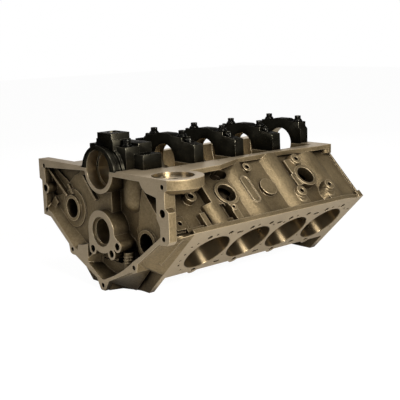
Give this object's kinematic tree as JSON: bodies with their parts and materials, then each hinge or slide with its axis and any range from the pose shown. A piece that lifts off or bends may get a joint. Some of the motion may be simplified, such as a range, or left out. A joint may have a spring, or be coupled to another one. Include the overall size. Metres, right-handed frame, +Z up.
{
  "type": "engine block",
  "caption": "Bare V-type engine block shown upside down: two banks of honed bores, bell housing rim, lifter valley and bolted main bearing caps.",
  "frame": {"origin": "on the crank axis at the middle of the centre main bearing", "axes": "+Y along the crank from the bell housing end to the front, +Z up out of the crankcase towards the pan rail, +X to the bank that the picture shows; the block rests upside down with the valley below"},
  "size_m": [0.4559, 0.5463, 0.314],
  "materials": {
    "cast_block": "rough cast with machined faces and honed bores",
    "cap_steel": "black oxide, brushed on the sides",
    "bolt_steel": "black oxide",
    "washer_steel": "black oxide"
  },
  "bodies": {
    "root": {"block_casting": "cast_block", "main_cap_1": "cap_steel", "main_cap_2": "cap_steel", "main_cap_3": "cap_steel", "main_cap_4": "cap_steel", "main_cap_5": "cap_steel", "cap_bolt_1_inner_left": "bolt_steel", "cap_bolt_1_inner_right": "bolt_steel", "cap_bolt_2_inner_left": "bolt_steel", "cap_bolt_2_outer_left": "bolt_steel", "cap_bolt_2_inner_right": "bolt_steel", "cap_bolt_2_outer_right": "bolt_steel", "cap_bolt_3_inner_left": "bolt_steel", "cap_bolt_3_outer_left": "bolt_steel", "cap_bolt_3_inner_right": "bolt_steel", "cap_bolt_3_outer_right": "bolt_steel", "cap_bolt_4_inner_left": "bolt_steel", "cap_bolt_4_outer_left": "bolt_steel", "cap_bolt_4_inner_right": "bolt_steel", "cap_bolt_4_outer_right": "bolt_steel", "cap_bolt_5_inner_left": "bolt_steel", "cap_bolt_5_inner_right": "bolt_steel", "cap_washer_1_inner_left": "washer_steel", "cap_washer_1_inner_right": "washer_steel", "cap_washer_2_inner_left": "washer_steel", "cap_washer_2_outer_left": "washer_steel", "cap_washer_2_inner_right": "washer_steel", "cap_washer_2_outer_right": "washer_steel", "cap_washer_3_inner_left": "washer_steel", "cap_washer_3_outer_left": "washer_steel", "cap_washer_3_inner_right": "washer_steel", "cap_washer_3_outer_right": "washer_steel", "cap_washer_4_inner_left": "washer_steel", "cap_washer_4_outer_left": "washer_steel", "cap_washer_4_inner_right": "washer_steel", "cap_washer_4_outer_right": "washer_steel", "cap_washer_5_inner_left": "washer_steel", "cap_washer_5_inner_right": "washer_steel"}
  },
  "joints": []
}
